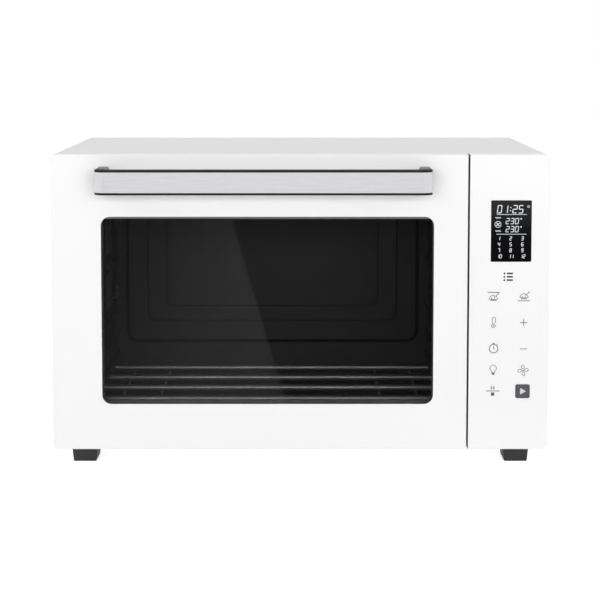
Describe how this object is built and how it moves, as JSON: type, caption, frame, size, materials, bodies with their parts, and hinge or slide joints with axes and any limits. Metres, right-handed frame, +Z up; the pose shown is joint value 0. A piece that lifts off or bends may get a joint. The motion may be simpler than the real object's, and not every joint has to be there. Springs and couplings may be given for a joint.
{
  "type": "mini oven",
  "caption": "Countertop oven with a drop-down double-glass door, bar handle, touch panel, tubular heaters, convection fan and spit drive.",
  "frame": {"origin": "on the surface it stands on, under the middle of the whole oven with its handle and rear spacers", "axes": "+Z up, -Y towards the door, +X to the user's right, along the oven's width"},
  "size_m": [0.54, 0.419, 0.343],
  "materials": {
    "white_paint": "satin white enamel",
    "panel_white": "satin moulded white",
    "dark_glass": "smoked, polished",
    "clear_glass": "clear, polished",
    "door_steel": "bare pressed",
    "silicone": "matt silicone",
    "black_plastic": "fine grain",
    "grey_plastic": "fine grain",
    "strip_steel": "fine brushed along its length",
    "screw_steel": "zinc plated",
    "galvanised": "galvanised sheet",
    "cavity_steel": "dark coated sheet",
    "tube_steel": "heat-darkened, smooth",
    "ceramic": "glazed steatite",
    "motor_steel": "pressed can",
    "fan_aluminium": "pressed sheet",
    "bulb_glass": "frosted",
    "display_black": "glossy tinted",
    "board_green": "solder mask",
    "foot_rubber": "matt"
  },
  "bodies": {
    "oven": {"hinge_brackets": "door_steel", "hinge_pins": "screw_steel", "hinge_springs": "screw_steel", "front_frame": "galvanised", "outer_case": "white_paint", "rear_panel": "galvanised", "base_plate": "galvanised", "cavity_left_wall": "cavity_steel", "cavity_right_wall": "cavity_steel", "cavity_roof": "cavity_steel", "cavity_floor": "cavity_steel", "cavity_back_wall": "cavity_steel", "lower_heating_tubes": "tube_steel", "upper_heating_tubes": "tube_steel", "lower_tube_caps": "ceramic", "upper_tube_caps": "ceramic", "tube_guards": "tube_steel", "crumb_tray": "galvanised", "spit_hook": "screw_steel", "spit_motor": "motor_steel", "fan_dish": "galvanised", "fan_motor": "motor_steel", "lamp_box": "galvanised", "lamp_glass": "clear_glass", "lamp_bulb": "bulb_glass", "temperature_probe": "tube_steel", "control_panel": "panel_white", "start_key": "grey_plastic", "display_lens": "display_black", "display_module": "board_green", "touch_board": "board_green", "power_board": "board_green", "feet": "foot_rubber", "rear_spacers": "black_plastic", "inlet_bush": "black_plastic", "rear_screws": "screw_steel"},
    "door": {"door_panel": "white_paint", "outer_door_glass": "dark_glass", "inner_door_glass": "clear_glass", "glass_spacer": "door_steel", "door_inner_frame": "door_steel", "door_seal": "silicone", "handle_bar": "black_plastic", "handle_strip": "strip_steel", "handle_posts": "grey_plastic", "handle_screws": "screw_steel", "hinge_cheeks": "door_steel"},
    "fan": {"convection_fan": "fan_aluminium", "cooling_fan": "fan_aluminium", "fan_shaft": "screw_steel"},
    "spit_drive": {"spit_socket": "screw_steel"}
  },
  "joints": [
    {"name": "door_hinge", "type": "hinge", "parent": "oven", "child": "door", "pos_m": [0, -0.1555, 0.027], "axis": [1, 0, 0], "range_deg": [0, 82], "stiffness_Nm_per_rad": 1.2, "springref_deg": -40.11},
    {"name": "fan_spin", "type": "hinge", "parent": "oven", "child": "fan", "pos_m": [0.174, 0.1025, 0.186], "axis": [1, 0, 0], "continuous": true},
    {"name": "spit_turn", "type": "hinge", "parent": "oven", "child": "spit_drive", "pos_m": [0.161, 0.0265, 0.168], "axis": [1, 0, 0], "continuous": true}
  ]
}
